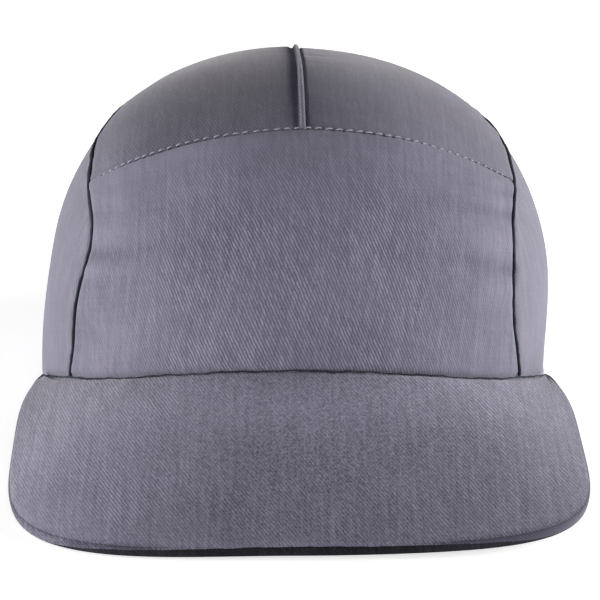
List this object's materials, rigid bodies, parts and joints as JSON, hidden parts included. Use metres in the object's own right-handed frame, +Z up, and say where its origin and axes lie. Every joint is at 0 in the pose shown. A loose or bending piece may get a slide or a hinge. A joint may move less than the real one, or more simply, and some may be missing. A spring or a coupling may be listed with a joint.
{
  "type": "five panel cap",
  "caption": "Soft cotton cap with a domed crown of sewn panels, thin dark piping in the side seams, and a wide arched brim.",
  "frame": {"origin": "middle of the bounding box, on the surface that the cap rests on", "axes": "the front of the cap faces -Y, +X is to the right when looking along +Y, and +Z is up"},
  "size_m": [0.185, 0.247, 0.1143],
  "materials": {
    "crown_twill": "grey violet cotton twill, matt with a faint sheen",
    "brim_twill": "the same grey violet twill over a stiff board",
    "strap_twill": "the same grey violet twill, folded into a plain strap",
    "under_cloth": "dark charcoal cloth, matt",
    "piping_cord": "dark cloth covered cord, matt"
  },
  "bodies": {
    "root": {"front_panel": "crown_twill", "top_panel_left": "crown_twill", "top_panel_right": "crown_twill", "side_panel_left": "crown_twill", "side_panel_right": "crown_twill", "side_piping_left": "piping_cord", "side_piping_right": "piping_cord", "brim": "brim_twill", "brim_underside": "under_cloth", "back_strap": "strap_twill"}
  },
  "joints": []
}
